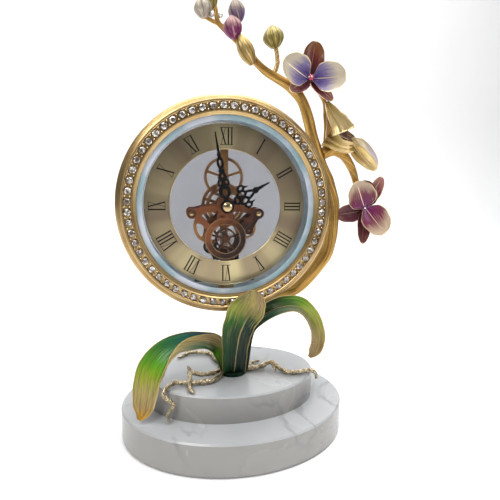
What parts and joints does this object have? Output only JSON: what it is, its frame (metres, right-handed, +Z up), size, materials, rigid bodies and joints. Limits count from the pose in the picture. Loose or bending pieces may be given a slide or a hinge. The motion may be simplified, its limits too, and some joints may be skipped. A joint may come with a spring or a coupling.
{
  "type": "skeleton clock",
  "caption": "Skeleton mantel clock: glazed round case with crystal bezel and open gear train, held by an enamelled orchid plant on an oval marble base.",
  "frame": {"origin": "centre of the oval base's underside", "axes": "+Z up, +X to the right of the clock face seen from the front, the face looks along -Y"},
  "size_m": [0.2352, 0.144, 0.3717],
  "materials": {
    "black_felt": "short black felt",
    "white_marble": "honed white marble with faint grey veins",
    "steel": "polished steel",
    "dark_steel": "dark blackened steel",
    "gilt_brass": "polished gilt brass",
    "case_silver": "polished silvered band",
    "crystal": "cut clear crystal",
    "clear_glass": "clear mineral glass",
    "pale_gold": "pale gold, fine radial brushing",
    "black_paint": "satin black",
    "copper_plate": "copper-red plated, satin",
    "copper_wire": "wound enamelled copper wire",
    "black_plastic": "matte black plastic",
    "battery_jacket": "plain printed jacket",
    "gilt_enamel": "gilt with translucent brown enamel in the hollows",
    "green_enamel": "glossy enamel running from teal to yellow-green, gilt edges",
    "violet_enamel": "glossy enamel from indigo through mauve to cream, gilt edges",
    "maroon_enamel": "glossy maroon enamel with gilt veins and cream edges",
    "pink_enamel": "glossy enamel, cream running to magenta",
    "cream_enamel": "glossy cream enamel with gilt ribs"
  },
  "bodies": {
    "case_and_base": {"felt_pad": "black_felt", "base_lower_tier": "white_marble", "base_upper_tier": "white_marble", "base_bolt": "steel", "root_plate": "gilt_brass", "case_drum": "case_silver", "front_bezel": "gilt_brass", "bezel_crystals": "crystal", "front_glass": "clear_glass", "rear_ring": "gilt_brass", "rear_glass": "clear_glass", "chapter_ring": "pale_gold", "hour_numerals": "black_paint", "dial_foot": "gilt_brass", "spine_bar": "gilt_brass", "front_bridge": "copper_plate", "back_plate": "gilt_brass", "plate_pillars": "steel", "plate_screws": "gilt_brass", "barrel_wheel": "dark_steel", "barrel_spring": "steel", "motor_stator": "dark_steel", "motor_coil": "copper_wire", "battery_box": "black_plastic", "battery_contacts": "steel", "orchid_stem": "gilt_enamel", "upper_flower_stalk": "gilt_enamel", "lower_flower_stalk": "gilt_enamel", "central_leaf": "green_enamel", "right_leaf": "green_enamel", "left_leaf": "green_enamel", "left_roots": "gilt_enamel", "right_root": "gilt_enamel", "upper_flower_petals": "violet_enamel", "upper_flower_sepals": "maroon_enamel", "middle_flower_hood": "gilt_enamel", "middle_flower_petals": "gilt_enamel", "lower_flower_petals": "violet_enamel", "lower_flower_sepals": "maroon_enamel", "bud_calyx": "gilt_enamel", "gold_bud": "gilt_enamel", "pink_bud": "pink_enamel", "cream_bud": "cream_enamel", "silver_bud": "cream_enamel", "tip_bud": "gilt_enamel", "battery": "battery_jacket"},
    "minute_train": {"centre_wheel": "steel", "cannon_pinion": "gilt_brass", "minute_hand": "black_paint", "hand_nut": "gilt_brass"},
    "minute_wheel_body": {"minute_wheel": "gilt_brass"},
    "hour_train": {"hour_wheel": "gilt_brass", "hour_hand": "black_paint"},
    "third": {"third_wheel": "steel"},
    "fourth": {"fourth_wheel": "steel"},
    "intermediate": {"intermediate_wheel": "steel"},
    "rotor": {"motor_rotor": "dark_steel"},
    "setting": {"setting_wheel": "steel", "setting_knob": "gilt_brass"},
    "cover": {"battery_cover": "black_plastic"}
  },
  "joints": [
    {"name": "minute_spin", "type": "hinge", "parent": "case_and_base", "child": "minute_train", "pos_m": [-0.0089, 0, 0.1992], "axis": [0, 1, 0], "continuous": true},
    {"name": "minute_wheel_spin", "type": "hinge", "parent": "case_and_base", "child": "minute_wheel_body", "pos_m": [-0.0089, 0, 0.1894], "axis": [0, 1, 0], "continuous": true},
    {"name": "hour_spin", "type": "hinge", "parent": "case_and_base", "child": "hour_train", "pos_m": [-0.0089, 0, 0.1992], "axis": [0, 1, 0], "continuous": true},
    {"name": "third_spin", "type": "hinge", "parent": "case_and_base", "child": "third", "pos_m": [-0.0089, 0, 0.2227], "axis": [0, 1, 0], "continuous": true},
    {"name": "fourth_spin", "type": "hinge", "parent": "case_and_base", "child": "fourth", "pos_m": [-0.0089, 0, 0.1992], "axis": [0, 1, 0], "continuous": true},
    {"name": "intermediate_spin", "type": "hinge", "parent": "case_and_base", "child": "intermediate", "pos_m": [-0.02045, 0, 0.18142], "axis": [0, 1, 0], "continuous": true},
    {"name": "rotor_spin", "type": "hinge", "parent": "case_and_base", "child": "rotor", "pos_m": [-0.02028, 0, 0.16272], "axis": [0, 1, 0], "continuous": true},
    {"name": "setting_spin", "type": "hinge", "parent": "case_and_base", "child": "setting", "pos_m": [0.01069, 0, 0.17891], "axis": [0, 1, 0], "continuous": true},
    {"name": "cover_slide", "type": "slide", "parent": "case_and_base", "child": "cover", "axis": [0, 1, 0], "range_m": [0, 0.018]}
  ],
  "couplings": [
    {"joint": "minute_wheel_spin", "follows": "minute_spin", "ratio": -0.33333},
    {"joint": "hour_spin", "follows": "minute_spin", "ratio": 0.083333},
    {"joint": "third_spin", "follows": "minute_spin", "ratio": -4},
    {"joint": "fourth_spin", "follows": "minute_spin", "ratio": 10},
    {"joint": "intermediate_spin", "follows": "minute_spin", "ratio": -25},
    {"joint": "rotor_spin", "follows": "minute_spin", "ratio": 90},
    {"joint": "setting_spin", "follows": "minute_spin", "ratio": -2}
  ]
}
